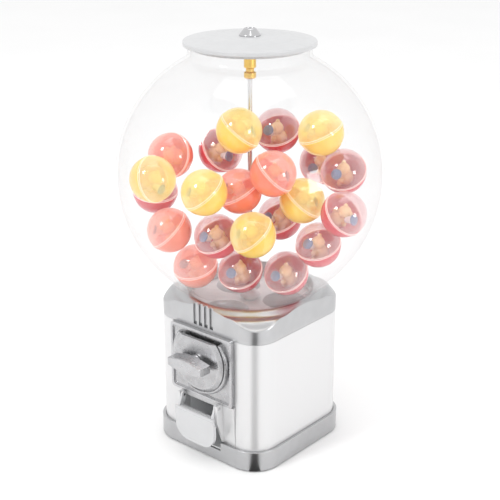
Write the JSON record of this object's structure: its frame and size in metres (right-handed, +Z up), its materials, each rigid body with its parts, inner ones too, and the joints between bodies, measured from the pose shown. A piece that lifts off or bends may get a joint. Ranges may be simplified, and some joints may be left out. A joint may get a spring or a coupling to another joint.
{
  "type": "tabletop capsule vending machine",
  "caption": "Tabletop capsule vending machine: clear round globe of toy capsules on a square white and silver body, with a coin dial, turn handle and prize flap.",
  "frame": {"origin": "centre of the footprint, on the plane the four feet stand on", "axes": "+X to the right along the front, seen from in front; +Y to the back; +Z up; the coin dial and prize flap face -Y"},
  "size_m": [0.2399, 0.24, 0.3862],
  "materials": {
    "satin_silver": "satin silver paint",
    "gloss_white": "gloss white enamel",
    "cast_silver": "cast zinc, brushed and lacquered",
    "bright_steel": "bright",
    "dark_steel": "dull",
    "brass": "satin",
    "chrome": "polished",
    "clear": "clear, gloss",
    "milky": "smooth",
    "flap_white": "gloss",
    "lid_white": "satin",
    "rubber": "matte",
    "gasket": "matte",
    "yellow": "gloss",
    "pale_yellow": "clear, gloss",
    "salmon": "gloss",
    "red": "gloss",
    "pale_pink": "clear, gloss",
    "tan": "smooth"
  },
  "bodies": {
    "cabinet": {"rubber_feet": "rubber", "base_tray": "satin_silver", "tie_bolts": "bright_steel", "body_shell": "gloss_white", "front_panel": "gloss_white", "flap_pins": "bright_steel", "coin_plate": "cast_silver", "plate_screws": "bright_steel", "dial_bush": "brass", "pawl_pin": "bright_steel", "pawl_spring": "bright_steel", "mech_bracket": "dark_steel", "bracket_screws": "bright_steel", "coin_guide": "gloss_white", "hopper": "milky", "prize_chute": "milky", "chute_screws": "bright_steel", "spindle_cap": "milky", "rod_nut": "bright_steel", "centre_rod": "bright_steel", "rod_coupling": "brass", "collar": "satin_silver", "globe_gasket": "gasket", "globe": "clear", "yellow_cups": "yellow", "yellow_domes": "pale_yellow", "salmon_cups": "salmon", "salmon_domes": "pale_pink", "red_cups": "red", "red_domes": "pale_pink", "toy_prizes": "tan"},
    "dial": {"coin_dial": "cast_silver", "turn_handle": "cast_silver", "handle_stud": "bright_steel", "coin_carrier": "dark_steel", "drive_shaft": "bright_steel", "ratchet_wheel": "dark_steel", "drive_gear": "milky", "shaft_clip": "bright_steel"},
    "wheel": {"dispensing_wheel": "milky"},
    "pawl": {"ratchet_pawl": "dark_steel"},
    "flap": {"prize_flap": "flap_white"},
    "lid": {"lid": "lid_white", "lock_housing": "chrome", "lock_nut": "bright_steel"},
    "lock": {"lock_barrel": "chrome"}
  },
  "joints": [
    {"name": "dial_turn", "type": "hinge", "parent": "cabinet", "child": "dial", "pos_m": [0, -0.07, 0.09818], "axis": [0, 1, 0], "continuous": true},
    {"name": "wheel_turn", "type": "hinge", "parent": "cabinet", "child": "wheel", "pos_m": [0, 0, 0.125], "axis": [0, 0, 1], "continuous": true},
    {"name": "pawl_swing", "type": "hinge", "parent": "cabinet", "child": "pawl", "pos_m": [0.021, -0.0625, 0.09218], "axis": [0, 1, 0], "range_deg": [0, 8], "stiffness_Nm_per_rad": 0.01, "springref_deg": -17.19},
    {"name": "flap_swing", "type": "hinge", "parent": "cabinet", "child": "flap", "pos_m": [0, -0.0705, 0.057], "axis": [-1, 0, 0], "range_deg": [0, 75]},
    {"name": "lid_lift", "type": "slide", "parent": "cabinet", "child": "lid", "axis": [0, 0, 1], "range_m": [0, 0.065]},
    {"name": "lock_turn", "type": "hinge", "parent": "lid", "child": "lock", "pos_m": [0, 0, 0.375], "axis": [0, 0, 1], "range_deg": [0, 90]}
  ],
  "couplings": [
    {"joint": "wheel_turn", "follows": "dial_turn", "ratio": 0.33333}
  ]
}
